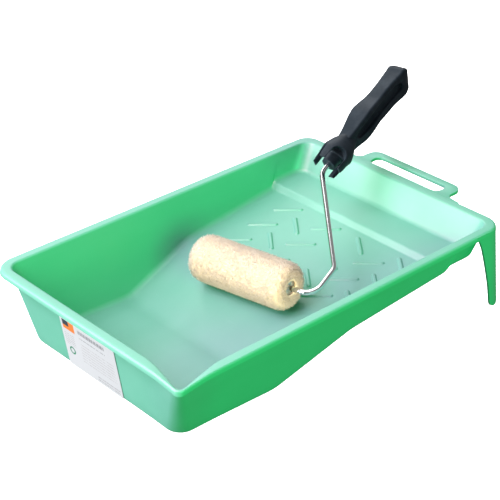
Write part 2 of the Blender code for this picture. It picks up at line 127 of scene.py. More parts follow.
class Finish(Nodes):
    # one material: a Principled surface and the nodes that feed it
    def __init__(self, name, constants):
        self.material = bpy.data.materials.new(name)
        super().__init__(self.material)
        shader = self.node("ShaderNodeBsdfPrincipled", {}, constants)
        self.surface = shader.socket.node
        self.node("ShaderNodeOutputMaterial", {}, {"Surface": shader})

    def drive(self, socket, value):
        self.feed(self.surface.inputs[socket], value)

    def place(self):
        return self.node("ShaderNodeTexCoord", {}, {}, "Object")

    def axes(self):
        across = self.node("ShaderNodeSeparateXYZ", {}, {0: self.place()})
        return [Link(self, socket) for socket in across.socket.node.outputs]

    def stretched(self, scale):
        return self.node("ShaderNodeMapping", {}, {"Vector": self.place(), "Scale": scale})

    def grain(self, scale, detail=2.0, roughness=0.5, vector=None):
        inputs = {"Scale": scale, "Detail": detail, "Roughness": roughness}
        inputs["Vector"] = vector or self.place()
        return self.node("ShaderNodeTexNoise", {}, inputs)

    def cells(self, scale, settings=None, vector=None):
        inputs = {"Vector": vector or self.place(), "Scale": scale}
        return self.node("ShaderNodeTexVoronoi", settings or {}, inputs)

    def blend(self, mask, below, above):
        return self.node("ShaderNodeMix", {"data_type": "RGBA"}, {0: mask, 6: below, 7: above}, 2)

    def bump(self, height, distance, strength=1.0, under=None):
        inputs = {"Height": height, "Distance": distance, "Strength": strength}
        if under:
            inputs["Normal"] = under
        return self.node("ShaderNodeBump", {}, inputs)


def rounded(points, radii, steps):
    # a polyline with an arc of that radius at each inner point, cut short where a leg has no room
    points = [Vector(p) for p in points]
    line = [points[0]]
    for before, corner, after, radius in zip(points, points[1:], points[2:], radii[1:-1]):
        into, out = corner - before, after - corner
        turn = into.angle(out, 0.0)
        if radius <= 0 or turn < 1e-4:
            line.append(corner)
            continue
        reach = min(radius * math.tan(turn / 2), 0.48 * into.length, 0.48 * out.length)
        radius = reach / math.tan(turn / 2)
        start, end = corner - into.normalized() * reach, corner + out.normalized() * reach
        centre = corner + ((start + end) / 2 - corner).normalized() * (radius / math.cos(turn / 2))
        for step in range(steps + 1):
            arm = (start - centre).normalized().slerp((end - centre).normalized(), step / steps)
            line.append(centre + arm * radius)
    line.append(points[-1])
    return line


def roundedLoop(corners, radii, steps):
    corners = [(x, y, 0) for x, y in corners]
    loop = []
    for index, radius in enumerate(radii):
        three = [corners[index - 1], corners[index], corners[(index + 1) % len(corners)]]
        loop += rounded(three, [0, radius, 0], steps)[1:-1]
    return loop


def addObject(name, data, finish=None, smoothAngle=None):
    piece = bpy.data.objects.new(name, data)
    bpy.context.scene.collection.objects.link(piece)
    if finish:
        data.materials.append(finish.material)
    if smoothAngle:
        data.shade_smooth()
        data.set_sharp_from_angle(angle=math.radians(smoothAngle))
    return piece


def meshFrom(name, shape):
    data = bpy.data.meshes.new(name)
    shape.to_mesh(data)
    shape.free()
    return data


def gridFaces(shape, rows, closed=False):
    for here, after in zip(rows, rows[1:]):
        ahead = here[1:] + (here[:1] if closed else [])
        beyond = after[1:] + (after[:1] if closed else [])
        for a, b, c, d in zip(here, ahead, beyond, after):
            shape.faces.new((a, b, c, d))


def applied(piece):
    # the piece with its modifiers applied, as a plain mesh
    bpy.context.view_layer.update()
    graph = bpy.context.evaluated_depsgraph_get()
    data = bpy.data.meshes.new_from_object(piece.evaluated_get(graph))
    data.name = piece.name
    if piece.type == "MESH":
        piece.modifiers.clear()
        piece.data = data
        return piece
    name, place = piece.name, piece.matrix_world.copy()
    bpy.data.objects.remove(piece)
    made = addObject(name, data)
    made.matrix_world = place
    return made


def rounding(piece, width, segments=3, angle=40):
    edge = piece.modifiers.new("rounding", "BEVEL")
    edge.width = width
    edge.segments = segments
    edge.limit_method = "ANGLE"
    edge.angle_limit = math.radians(angle)
    edge.harden_normals = False


studio = dict(
    cameraAt=(0.92047, -0.70848, 0.74373),
    cameraTurn=48.11,
    cameraDrop=28.44,
    cameraRoll=0.584,
    lens=110.6,
    skyColour=(1.0, 1.0, 1.0),
    skyToSurfaces=0.24,
    floorThrowsBack=(0.05, 0.05, 0.05),
    # each lamp's place, aim, size, power and colour
    lamps=dict(
        window=((-1.7, 1.0, 1.6), (0, 0.1, 0.05), (2.0, 1.6), 25, (1, 1, 1)),
        top=((-0.5, -0.6, 2.2), (0, 0.1, 0.05), (1.4, 1.4), 22, (1, 1, 1)),
        left=((-0.9, -1.7, 0.4), (0, 0, 0.05), (1.6, 0.8), 60, (1, 1, 1)),
        floorWash=((0, 0.1, 3.0), (0, 0.1, 0), (3.0, 3.0), 260, (1, 1, 1)),
        greenFill=((2.0, -0.5, 0.75), (0, 0.1, 0.05), (1.4, 1.0), 66, (0.01, 1.0, 0.28)),
        veil=((-0.5, -1.5, 1.8), (0, 0.1, 0.05), (1.4, 1.2), 140, (1.0, 0.42, 0.70)),
        whiteFill=((0.6, -0.9, 1.8), (0, 0.1, 0.05), (1.6, 1.4), 37, (1, 1, 1)),
        lowFill=((1.6, -1.0, 0.0), (0, 0.1, 0.05), (1.2, 0.6), 36, (1.0, 0.93, 0.66)),
    ),
)


def makeCamera():
    turn, drop, roll = (math.radians(studio[key]) for key in ("cameraTurn", "cameraDrop", "cameraRoll"))
    ahead = Vector((-math.sin(turn) * math.cos(drop), math.cos(turn) * math.cos(drop), -math.sin(drop)))
    right = Vector((math.cos(turn), math.sin(turn), 0))
    up = right.cross(ahead)
    rolledRight = math.cos(roll) * right + math.sin(roll) * up
    rolledUp = -math.sin(roll) * right + math.cos(roll) * up
    camera = bpy.data.cameras.new("camera")
    camera.lens = studio["lens"]
    camera.clip_start = 0.01
    stand = bpy.data.objects.new("camera", camera)
    stand.matrix_world = Matrix((rolledRight, rolledUp, -ahead)).transposed().to_4x4()
    stand.matrix_world.translation = Vector(studio["cameraAt"])
    bpy.context.scene.collection.objects.link(stand)
    bpy.context.scene.camera = stand


def softbox(name):
    place, aim, size, power, colour = studio["lamps"][name]
    light = bpy.data.lights.new(name, "AREA")
    light.shape = "RECTANGLE"
    light.size, light.size_y = size
    light.energy, light.color = power, colour
    lamp = bpy.data.objects.new(name, light)
    lamp.location = place
    lamp.rotation_euler = (Vector(aim) - Vector(place)).to_track_quat("-Z", "Y").to_euler()
    bpy.context.scene.collection.objects.link(lamp)
    return lamp


def lightOnly(lamp, pieces, ownShadows=False):
    # keeps a lamp's light, and its shadows too if asked, to the given pieces
    group = bpy.data.collections.new(lamp.name)
    for piece in pieces:
        group.objects.link(piece)
    lamp.light_linking.receiver_collection = group
    if ownShadows:
        lamp.light_linking.blocker_collection = group


def makeStudio():
    scene = bpy.context.scene
    scene.view_settings.view_transform = "Standard"
    world = bpy.data.worlds.new("studio")
    nodes = Nodes(world)
    seen = nodes.node("ShaderNodeLightPath", {}, {}, "Is Camera Ray")
    level = seen * (1 - studio["skyToSurfaces"]) + studio["skyToSurfaces"]
    sky = nodes.node("ShaderNodeBackground", {}, {"Color": studio["skyColour"], "Strength": level})
    nodes.node("ShaderNodeOutputWorld", {}, {"Surface": sky})
    scene.world = world
    for name in ("window", "top", "left"):
        softbox(name)


def makeFloor():
    # pale to the camera, and darker to the light that it throws back at the object
    finish = Finish("paleFloor", {"Roughness": 0.9, "Specular IOR Level": 0.1})
    seen = finish.node("ShaderNodeLightPath", {}, {}, "Is Camera Ray")
    cloud = finish.grain(3.0, 2.0)
    pale = finish.blend(cloud, (0.93, 0.93, 0.93), (0.95, 0.95, 0.95))
    finish.drive("Base Color", finish.blend(seen, studio["floorThrowsBack"], pale))
    shape = bmesh.new()
    bmesh.ops.create_grid(shape, x_segments=1, y_segments=1, size=6)
    floor = addObject("floor", meshFrom("floor", shape), finish)
    floor.location.z = -0.0006
    lightOnly(softbox("floorWash"), [floor], True)
    return floor


colours = dict(
    tray=(0.082, 0.34, 0.228),
    trayCloud=(0.098, 0.362, 0.252),
    trayScuff=(0.18, 0.46, 0.35),
    # pile colours: the fibres get the paler pair as painted light, and the backing at their roots the
    # darker, yellower pair as painted shade deep in the nap
    pile=(1.0, 0.82, 0.62),
    pilePaintedShade=(0.98, 0.79, 0.49),
    pilePaintedLight=(1.0, 0.86, 0.72),
    handle=(0.016, 0.026, 0.038),
    paper=(0.60, 0.62, 0.65),
    ink=(0.30, 0.31, 0.33),
    darkBlock=(0.03, 0.05, 0.07),
    orangeBlock=(0.80, 0.22, 0.04),
    greenMark=(0.02, 0.22, 0.12),
)


def trayFinish():
    finish = Finish("mintPolypropylene", {"IOR": 1.5, "Specular IOR Level": 0.6})
    cloud = finish.grain(9, 3, 0.55)
    flow = finish.grain(30, 3, 0.6, finish.stretched((1, 0.18, 1)))
    scuff = finish.grain(340, 4, 0.7, finish.stretched((0.12, 1, 1))).spread(0.62, 0.74)
    drift = (cloud * 0.6 + flow * 0.4).spread(0.35, 0.65)
    base = finish.blend(drift, colours["tray"], colours["trayCloud"])
    finish.drive("Base Color", finish.blend(scuff * 0.12, base, colours["trayScuff"]))
    finish.drive("Roughness", (flow * 0.10 + cloud * 0.08 + scuff * 0.1 + 0.34).limited())
    skin = finish.bump(finish.grain(900, 2, 0.5), 0.00003, 0.5)
    ripple = finish.bump(finish.grain(16, 2, 0.4), 0.0006, 0.25, skin)
    finish.drive("Normal", ripple)
    return finish


def pileFinish(name, paintedLit):
    finish = Finish(name, {"Roughness": 0.9, "Specular IOR Level": 0.15})
    tuft = finish.cells(420).spread(0.0, 0.75)
    cloud = finish.grain(40, 3, 0.6)
    # painted light and shade: the fibres are painted paler, and the backing deep among them darker and
    # yellower
    low, high = (colours["pile"], colours["pilePaintedLight"]) if paintedLit else (colours["pilePaintedShade"], colours["pile"])
    finish.drive("Base Color", finish.blend((tuft * 0.45 + cloud * 0.7 - 0.1).limited(), low, high))
    finish.drive("Normal", finish.bump(finish.grain(700, 3, 0.7), 0.0006, 0.6))
    return finish


def mouldedFinish(name, colour, roughness, speck=0.04, specular=0.4):
    finish = Finish(name, {"IOR": 1.5, "Specular IOR Level": specular})
    cloud = finish.grain(60, 3, 0.6)
    paler = tuple(min(1, part * 1.25 + 0.012) for part in colour)
    finish.drive("Base Color", finish.blend(cloud.spread(0.35, 0.7), colour, paler))
    finish.drive("Roughness", finish.grain(150, 3, 0.6) * (2 * speck) + (roughness - speck))
    finish.drive("Normal", finish.bump(finish.grain(1400, 2, 0.6), 0.00006, 0.6))
    return finish


def wireFinish():
    finish = Finish("brightWire", {"Metallic": 1.0})
    drawn = finish.grain(260, 3, 0.6, finish.stretched((1, 1, 3)))
    finish.drive("Base Color", finish.blend(drawn, (0.80, 0.81, 0.83), (0.90, 0.90, 0.91)))
    finish.drive("Roughness", drawn * 0.10 + 0.07)
    finish.drive("Normal", finish.bump(drawn, 0.00004, 0.4))
    return finish


def zincFinish():
    finish = Finish("zincPlate", {"Metallic": 1.0})
    spangle = finish.cells(900, {"feature": "F1"})
    finish.drive("Base Color", finish.blend(spangle.spread(0, 0.8), (0.62, 0.63, 0.65), (0.78, 0.79, 0.80)))
    finish.drive("Roughness", spangle * 0.2 + 0.24)
    finish.drive("Normal", finish.bump(finish.grain(1500, 2), 0.00003, 0.5))
    return finish


makeCamera()
makeStudio()
floor = makeFloor()
plasticTray = trayFinish()
print("camera, studio and finishes ready")

tray = dict(
    rimLength=392 * mm,
    rimWidth=266 * mm,
    rimDeep=72 * mm,
    rimShallow=86.5 * mm,
    middleY=120 * mm,
    wall=2.2 * mm,
    flange=10 * mm,
    lipDrop=5 * mm,
    lipFlare=0.8 * mm,
    wellHalfWidth=103.6 * mm,
    draft=0.28,
    floorLine=[(-173.5, 2.2), (-66, 2.2), (16, 33.5), (131, 50.5), (134.5, 56.5), (172, 58.5)],
    floorTurns=[0, 40, 60, 2.5, 3, 0],
    floorMargin=12 * mm,
    spoutReach=36 * mm,
    spoutDepth=4 * mm,
)
front, back = -tray["rimLength"] / 2, tray["rimLength"] / 2
rimSlope = (tray["rimShallow"] - tray["rimDeep"]) / tray["rimLength"]
sharp = 2


def rimHeight(y):
    return tray["rimDeep"] + (y - front) * rimSlope


def floorHeight(y):
    for before, after in zip(floorPath, floorPath[1:]):
        if y <= after.y:
            share = (y - before.y) / (after.y - before.y)
            return before.z + max(share, 0.0) * (after.z - before.z)
    return floorPath[-1].z


def sideHalfWidth(y):
    return tray["wellHalfWidth"] + tray["draft"] * (floorHeight(y) - floorPath[0].z)


class Outline:
    # a rounded rectangle seen from above, with points named the same way on every ring of the tray
    def __init__(self, front, back, halfWidth, corners):
        self.front, self.back, self.halfWidth, self.corners = front, back, halfWidth, corners

    def point(self, part, side, share):
        near = part.startswith("front")
        radii = self.corners[0 if near else 1]
        end, inward = (self.front, 1) if near else (self.back, -1)
        if part == "side":
            low, high = self.front + self.corners[0][side > 0], self.back - self.corners[1][side > 0]
            y = low + share * (high - low)
            return Vector((side * self.halfWidth(y), y, 0))
        if part.endswith("edge"):
            left, right = (self.halfWidth(end) - radius for radius in radii)
            return Vector((-left + (share + 1) / 2 * (left + right), end, 0))
        radius, turn = radii[side > 0], share * math.pi / 2
        x = side * (self.halfWidth(end) - radius + radius * math.sin(turn))
        return Vector((x, end + inward * (radius - radius * math.cos(turn)), 0))


def ringNames(sideShares, edgeShares, cornerSteps):
    arcs = [step / cornerSteps for step in range(cornerSteps + 1)]
    names = [("front edge", 0, share) for share in edgeShares[1:-1]]
    names += [("front corner", 1, share) for share in arcs]
    names += [("side", 1, share) for share in sideShares[1:-1]]
    names += [("back corner", 1, share) for share in reversed(arcs)]
    names += [("back edge", 0, share) for share in reversed(edgeShares[1:-1])]
    names += [("back corner", -1, share) for share in arcs]
    names += [("side", -1, share) for share in reversed(sideShares[1:-1])]
    names += [("front corner", -1, share) for share in reversed(arcs)]
    return names


floorCorners = [(0, y * mm, z * mm) for y, z in tray["floorLine"]]
floorPath = rounded(floorCorners, [radius * mm for radius in tray["floorTurns"]], 5 * sharp)
margin = tray["floorMargin"]
floorEdge = Outline(-173.5 * mm, 172 * mm, sideHalfWidth, [(15 * mm, 14 * mm), (14 * mm, 14 * mm)])
floorInset = Outline(
    floorEdge.front + margin, floorEdge.back - margin, lambda y: sideHalfWidth(y) - margin,
    [(5 * mm, 5 * mm), (4 * mm, 4 * mm)],
)
halfRim = tray["rimWidth"] / 2
flangeInner = Outline(
    front + tray["flange"], back - tray["flange"], lambda y: halfRim - tray["flange"],
    [(12 * mm, 10 * mm), (12 * mm, 12 * mm)],
)
rimOuter = Outline(front, back, lambda y: halfRim, [(21 * mm, 7 * mm), (15 * mm, 20 * mm)])
spoutTip = Vector((halfRim, front, 0))


def traySection(name):
    # one section from the floor out through wall, flange and lip
    inner, edge, top, outer = (ring.point(*name) for ring in (floorInset, floorEdge, flangeInner, rimOuter))
    away = (outer - top).normalized()
    spout = max(0.0, 1 - (outer - spoutTip).length / tray["spoutReach"])
    top += away * (outer - top).length * 0.86 * spout
    sink = tray["spoutDepth"] * spout**1.5
    inner.z, edge.z = floorHeight(inner.y), floorHeight(edge.y)
    top.z, outer.z = rimHeight(top.y) - sink, rimHeight(outer.y) - sink
    lip = outer + away * tray["lipFlare"]
    lip.z -= tray["lipDrop"]
    line = rounded([inner, edge, top, outer, lip], [0, 6 * mm, 3 * mm, 3 * mm, 0], 4 * sharp)
    low, high = 4 * sharp + 1, 4 * sharp + 2  # the wall's straight stretch gets points of its own
    steps = 6
    between = [line[low].lerp(line[high], step / steps) for step in range(1, steps)]
    return line[: low + 1] + between + line[high:]


def makeTray():
    low, high = floorInset.front + 5 * mm, floorInset.back - 4 * mm
    stations = [p.y for p in floorPath if low < p.y < high]
    pitch = 9 * mm / sharp
    filler = [low + pitch * step for step in range(1, int((high - low) / pitch))]
    stations += [y for y in filler if min(abs(y - other) for other in stations) > 0.4 * pitch]
    sideShares = [0] + [(y - low) / (high - low) for y in sorted(stations)] + [1]
    edgeSteps = 10 * sharp
    edgeShares = [2 * step / edgeSteps - 1 for step in range(edgeSteps + 1)]
    names = ringNames(sideShares, edgeShares, 4 * sharp)
    shape = bmesh.new()
    rings = [[shape.verts.new(p) for p in traySection(name)] for name in names]
    gridFaces(shape, rings + rings[:1])
    inner = {name: ring[0] for name, ring in zip(names, rings)}
    left = [name for name in reversed(names) if name[1] == -1]
    right = [name for name in names if name[1] == 1]
    rows = []
    for row, (first, last) in enumerate(zip(left, right)):
        edge = {0: "front edge", len(left) - 1: "back edge"}.get(row)
        start, end = inner[first], inner[last]
        middle = []
        for share in edgeShares[1:-1]:
            spot = start.co.lerp(end.co, (share + 1) / 2)
            middle.append(inner[(edge, 0, share)] if edge else shape.verts.new(spot))
        rows.append([start, *middle, end])
    gridFaces(shape, rows)
    bmesh.ops.recalc_face_normals(shape, faces=shape.faces)
    if rows[1][2].link_faces[0].normal.z < 0:
        bmesh.ops.reverse_faces(shape, faces=shape.faces)
    shell = addObject("tray_moulding", meshFrom("tray_moulding", shape), plasticTray)
    shell.location.y = tray["middleY"]
    wall = shell.modifiers.new("wall", "SOLIDIFY")
    wall.thickness, wall.offset, wall.use_even_offset = tray["wall"], -1, True
    rounding(shell, 0.6 * mm, 3, 60)
    shell.data.shade_smooth()
    return applied(shell)


ribs = dict(
    columns=[(23, (46, 80, 114)), (49.8, (32, 65.5, 99)), (77.5, (46, 80, 114))],
    centre=3.5,
    length=30 * mm,
    angle=39,
    # distance from the rib's spine and height there, from the crown down into the tray's wall
    profile=[
        (0.3, 1.3), (0.9, 1.27), (1.3, 1.12), (1.6, 0.85), (1.85, 0.5),
        (2.15, 0.2), (2.6, 0.03), (3.0, -0.06), (3.0, -1.1),
    ],
)


def makeRibs():
    (y0, z0), (y1, z1) = tray["floorLine"][2:4]
    slope = math.atan2(z1 - z0, y1 - y0)
    shape = bmesh.new()
    arc = 6 * sharp
    for index, (across, rowsAlong) in enumerate(ribs["columns"]):
        for along in rowsAlong:
            for side in (-1, 1):
                turn = math.radians(ribs["angle"]) * (1 if index % 2 else -1) * side
                lift = (z0 + (along - y0) * math.tan(slope)) * mm
                place = Matrix.Translation(((ribs["centre"] + side * across) * mm, along * mm, lift))
                place = place @ Matrix.Rotation(slope, 4, "X") @ Matrix.Rotation(turn, 4, "Z")
                half = ribs["length"] / 2 - 2 * mm
                rings = []
                for reach, height in ribs["profile"]:
                    ring = []
                    for end, first in ((half, -90), (-half, 90)):
                        for step in range(arc + 1):
                            angle = math.radians(first + 180 * step / arc)
                            x, y = reach * mm * math.cos(angle), reach * mm * math.sin(angle)
                            ring.append(shape.verts.new(place @ Vector((end + x, y, height * mm))))
                    rings.append(ring)
                gridFaces(shape, rings, closed=True)
                shape.faces.new(rings[0])
                shape.faces.new(rings[-1])
    bmesh.ops.recalc_face_normals(shape, faces=shape.faces)
    made = addObject("grip_ribs", meshFrom("grip_ribs", shape), plasticTray, 60)
    made.location.y = tray["middleY"]
    return made


carryingLoop = dict(
    reach=26 * mm,
    halfWidth=59,
    slotHalf=46,
    bar=8.6 * mm,
    thickness=3.4 * mm,
    edge=0.9 * mm,
)


def makeLoop():
    reach = back + carryingLoop["reach"]
    half, slotHalf = carryingLoop["halfWidth"], carryingLoop["slotHalf"]
    outside = [(-76, 189), (-76, 197), (-half, 199), (-half, 0)]
    outside += [(-x, y) for x, y in reversed(outside)]
    outside = [(x * mm, y * mm if y else reach) for x, y in outside]
    outer = roundedLoop(outside, [0, 1 * mm, 7 * mm, 13 * mm, 13 * mm, 7 * mm, 1 * mm, 0], 5 * sharp)
    low, high = (back + 2 * mm), (reach - carryingLoop["bar"])
    slot = [(-slotHalf * mm, low), (-slotHalf * mm, high), (slotHalf * mm, high), (slotHalf * mm, low)]
    hole = roundedLoop(slot, [6 * mm] * 4, 4 * sharp)
    curve = bpy.data.curves.new("carrying_loop", "CURVE")
    curve.dimensions, curve.fill_mode = "2D", "BOTH"
    curve.extrude = carryingLoop["thickness"] / 2
    for walk in (outer, hole):
        spline = curve.splines.new("POLY")
        spline.points.add(len(walk) - 1)
        for point, place in zip(spline.points, walk):
            point.co = (place[0], place[1], 0, 1)
        spline.use_cyclic_u = True
    plate = applied(addObject("carrying_loop", curve))
    shape = bmesh.new()
    shape.from_mesh(plate.data)
    bmesh.ops.remove_doubles(shape, verts=shape.verts, dist=1e-6)
    bmesh.ops.recalc_face_normals(shape, faces=shape.faces)
    bmesh.ops.dissolve_limit(shape, angle_limit=math.radians(1), verts=shape.verts, edges=shape.edges)
    shape.to_mesh(plate.data)
    shape.free()
    rounding(plate, carryingLoop["edge"], 4, 50)
    plate.rotation_euler.x = math.atan(rimSlope)
    plate.location = (0, tray["middleY"], rimHeight(0) - 0.25 * mm - carryingLoop["thickness"] / 2)
    plate.data.materials.append(plasticTray.material)
    plate = applied(plate)
    plate.data.shade_smooth()
    plate.data.set_sharp_from_angle(angle=math.radians(50))
    return plate


legs = dict(
    top=84.5,
    heights=[84.5, 79, 70, 60, 52, 40, 26, 14, 7, 3, 1.1, 0.3],
    reaches=[34, 30.2, 26, 23, 20.8, 17.8, 14.7, 12.8, 12, 10.5, 7.5, 4.5],
    flare=4,
    slide=5,
    lean=(-3, 9),
    thickness=2.4 * mm,
)


def legPoint(side, distance, flare):
    # a point on the rim's outer line, by its distance along it from the middle of the shallow end's corner
    radius = rimOuter.corners[1][side > 0]
    arc = radius * math.pi / 4
    centre = Vector((halfRim - radius, back - radius, 0))
    if abs(distance) <= arc:
        turn = math.pi / 4 + distance / radius
        outward = Vector((math.cos(turn), math.sin(turn), 0))
        place = centre + outward * radius
    elif distance < 0:
        outward = Vector((1, 0, 0))
        place = centre + Vector((radius, distance + arc, 0))
    else:
        outward = Vector((0, 1, 0))
        place = centre + Vector((arc - distance, radius, 0))
    place += outward * flare
    return Vector((side * place.x, place.y, 0))


def makeLeg(side):
    heights, reaches = legs["heights"], legs["reaches"]
    levels = sorted(set(heights) | {3.0 * step + 6 for step in range(26)}, reverse=True)
    shape = bmesh.new()
    rows = []
    columns = 9 * sharp
    for height in levels:
        reach = float(np.interp(height, heights[::-1], reaches[::-1]))
        lean = 1 - height / legs["top"]
        row = []
        for step in range(-columns, columns + 1):
            along = (step / columns * reach - legs["slide"] * lean) * mm
            point = legPoint(side, along, tray["lipFlare"] - 0.6 * mm + legs["flare"] * mm * lean)
            point += Vector((legs["lean"][0] * side, legs["lean"][1], 0)) * mm * lean
            point.z = height * mm
            row.append(shape.verts.new(point))
        rows.append(row)
    gridFaces(shape, rows)
    bmesh.ops.recalc_face_normals(shape, faces=shape.faces)
    if rows[0][0].link_faces[0].normal.x * side < 0:
        bmesh.ops.reverse_faces(shape, faces=shape.faces)
    name = "leg_left" if side < 0 else "leg_right"
    made = addObject(name, meshFrom(name, shape), plasticTray)
    made.location.y = tray["middleY"]
    plate = made.modifiers.new("plate", "SOLIDIFY")
    plate.thickness, plate.offset = legs["thickness"], -1
    rounding(made, 0.7 * mm, 3, 50)
    made.data.shade_smooth()
    return applied(made)


trayPieces = [makeTray(), makeRibs(), makeLoop(), makeLeg(-1), makeLeg(1)]
for piece in trayPieces:
    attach(piece, "tray")
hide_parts("tray_shell")
lightOnly(softbox("greenFill"), trayPieces)
lightOnly(softbox("veil"), trayPieces)
print("tray made:", ", ".join(piece.name for piece in trayPieces))

label = dict(
    width=78 * mm,
    height=54 * mm,
    thickness=0.3 * mm,
    corner=2 * mm,
    up=29 * mm,
    across=-5 * mm,
)


def labelPlace():
    foot = Vector((0, floorEdge.front, floorPath[0].z))
    head = Vector((0, flangeInner.front, rimHeight(flangeInner.front)))
    up = (head - foot).normalized()
    out = Vector((0, -up.z, up.y))
    centre = foot + up * label["up"] + out * (tray["wall"] + 0.3 * mm + label["thickness"] / 2)
    across = Vector((1, 0, 0))
    turn = Matrix((across, up, across.cross(up))).transposed().to_4x4()
    shift = Vector((label["across"], tray["middleY"], 0))
    return Matrix.Translation(centre + shift) @ turn


def labelFinish():
    # print of plain blocks and bars, with u across and v up in millimetres from the label's middle
    finish = Finish("printedLabel", {"Roughness": 0.45, "Coat Weight": 0.2, "Coat Roughness": 0.2})
    u, v, _ = (axis * 1000 for axis in finish.axes())

    def block(left, right, low, high):
        return (u > left) * (u < right) * (v > low) * (v < high)

    def bars(left, right, low, high, pitch, ink):
        ridge = finish.node("ShaderNodeMath", {"operation": "FRACT"}, {0: v / pitch})
        words = finish.grain(1, 0, 0.5, finish.node("ShaderNodeCombineXYZ", {}, {0: u * 0.9, 1: v * 0.05}))
        return block(left, right, low, high) * (ridge < ink) * (words > 0.42)

    paper = finish.blend(finish.grain(900, 3), colours["paper"], (0.65, 0.67, 0.70))
    printed = paper
    for mask, colour in (
        (block(-36, -19, 15, 25), colours["orangeBlock"]),
        (block(-36, -27, 19, 25), colours["darkBlock"]),
        (bars(-14, 24, 13, 22, 9, 0.55), colours["ink"]),
        (bars(-36, -22, -2, 12, 2.4, 0.4), (0.45, 0.46, 0.48)),
        (bars(-14, 34, -14, 9, 3.2, 0.34), (0.5, 0.5, 0.52)),
        (bars(4, 36, -25, -18, 3.0, 0.5), (0.42, 0.43, 0.45)),
    ):
        printed = finish.blend(mask, printed, colour)
    ring = ((u + 29) * (u + 29) + (v + 8) * (v + 8)) ** 0.5
    printed = finish.blend((ring < 4.2) * (ring > 2.6), printed, colours["greenMark"])
    finish.drive("Base Color", printed)
    finish.drive("Normal", finish.bump(finish.grain(1200, 3), 0.00003, 0.4))
    return finish


def makeLabel():
    halfWidth, halfHeight = label["width"] / 2, label["height"] / 2
    corners = [(side * halfWidth, -halfHeight) for side in (-1, 1)]
    corners += [(side * halfWidth, halfHeight) for side in (1, -1)]
    outline = roundedLoop(corners, [label["corner"]] * 4, 4 * sharp)
    shape = bmesh.new()
    bottom = shape.faces.new([shape.verts.new((p.x, p.y, -label["thickness"] / 2)) for p in outline])
    raised = bmesh.ops.extrude_face_region(shape, geom=[bottom])["geom"]
    lifted = [item for item in raised if isinstance(item, bmesh.types.BMVert)]
    bmesh.ops.translate(shape, verts=lifted, vec=(0, 0, label["thickness"]))
    bmesh.ops.recalc_face_normals(shape, faces=shape.faces)
    made = addObject("label_sticker", meshFrom("label_sticker", shape), labelFinish(), 40)
    made.matrix_world = labelPlace()
    return made


sticker = makeLabel()
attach(sticker, "tray")
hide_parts("label")
print("label made")

roller = dict(
    coverLength=114 * mm,
    coverRadius=23.5 * mm,
    place=(-2.9 * mm, -5.5 * mm),
    yaw=8.1,
    pitch=26.1,
    rampGap=0.5 * mm,
    wireRadius=2.5 * mm,
    bow=[(79.5, 0), (79.5, 34.5), (-1.6, 130.7)],
    bends=[14, 10, 14],
    handleTurn=0.8,
    stemIn=8.5,
    socket=61,
    tip=55.8,
)


def rollerPlace():
    # x along the axle, y towards the handle, z across the wire's plane
    (y0, z0), (y1, z1) = ((y * mm, z * mm) for y, z in tray["floorLine"][1:3])
    slope = (z1 - z0) / (y1 - y0)
    x, y = roller["place"]
    clearance = (roller["coverRadius"] + roller["rampGap"]) * math.sqrt(1 + slope * slope)
    centre = Vector((x, y, z1 + (y - y1) * slope + clearance))
    yaw, pitch = math.radians(roller["yaw"]), math.radians(roller["pitch"])
    axle = Vector((math.cos(yaw), math.sin(yaw), math.sin(yaw) * slope)).normalized()
    level = Vector((0, 0, 1)).cross(axle).normalized()
    forward = level * math.cos(pitch) + axle.cross(level) * math.sin(pitch)
    turn = Matrix((axle, forward, axle.cross(forward))).transposed().to_4x4()
    return Matrix.Translation(centre + Vector((0, tray["middleY"], 0))) @ turn


axlePlace = rollerPlace()


def stemPoint(distance):
    turn = math.radians(roller["handleTurn"])
    x, y = roller["bow"][-1]
    return Vector((x + distance * math.sin(turn), y + distance * math.cos(turn), 0)) * mm


def makeWire():
    corners = [(-roller["tip"] * mm, 0, 0)] + [(x * mm, y * mm, 0) for x, y in roller["bow"]]
    corners.append(stemPoint(roller["stemIn"] + roller["socket"]))
    line = rounded(corners, [0, *(bend * mm for bend in roller["bends"]), 0], 8 * sharp)
    curve = bpy.data.curves.new("bent_wire", "CURVE")
    curve.dimensions = "3D"
    curve.bevel_depth = roller["wireRadius"]
    curve.bevel_resolution = 4 * sharp
    curve.use_fill_caps = True
    spline = curve.splines.new("POLY")
    spline.points.add(len(line) - 1)
    for point, place in zip(spline.points, line):
        point.co = (*place, 1)
    wire = addObject("bent_wire", curve)
    wire.matrix_world = axlePlace
    wire = applied(wire)
    wire.data.materials.append(wireFinish().material)
    wire.data.shade_smooth()
    return wire


pile = dict(
    baseInset=3.2 * mm,
    shoulder=11 * mm,
    bore=9.9 * mm,
    mouth=6.9 * mm,
    fibres=26000,
    fibreLength=4.3 * mm,
    fibreWidth=0.42 * mm,
)


def coverProfile(radius, halfLength, shoulder, steps):
    # (radius, distance along the axle) from the bore at one end round to the bore at the other
    bore, mouth = pile["bore"], pile["mouth"]
    centre = (radius - shoulder, halfLength - shoulder)
    arc = [math.radians(90 * step / steps) for step in range(steps + 1)]
    arc = [(centre[0] + shoulder * math.sin(a), centre[1] + shoulder * math.cos(a)) for a in arc]
    straight = 20 * sharp
    middle = [(radius, (halfLength - shoulder) * (1 - 2 * step / straight)) for step in range(1, straight)]
    face = [(mouth + (radius - shoulder - mouth) * step / 4, halfLength) for step in range(4)]
    throat = [(bore, halfLength - 4 * mm), (bore, halfLength - 1.6 * mm)]
    throat.append((mouth + 0.6 * mm, halfLength - 1 * mm))
    half = throat + face + arc
    return half + middle + [(r, -z) for r, z in reversed(half)]


def lumpy(point, amount):
    # soft tufts and a few broader hollows, as a share of amount
    fine = noise.noise(point * 520)
    broad = noise.noise(point * 90 + Vector((7, 3, 1)))
    return amount * (0.55 * fine + 0.45 * broad)


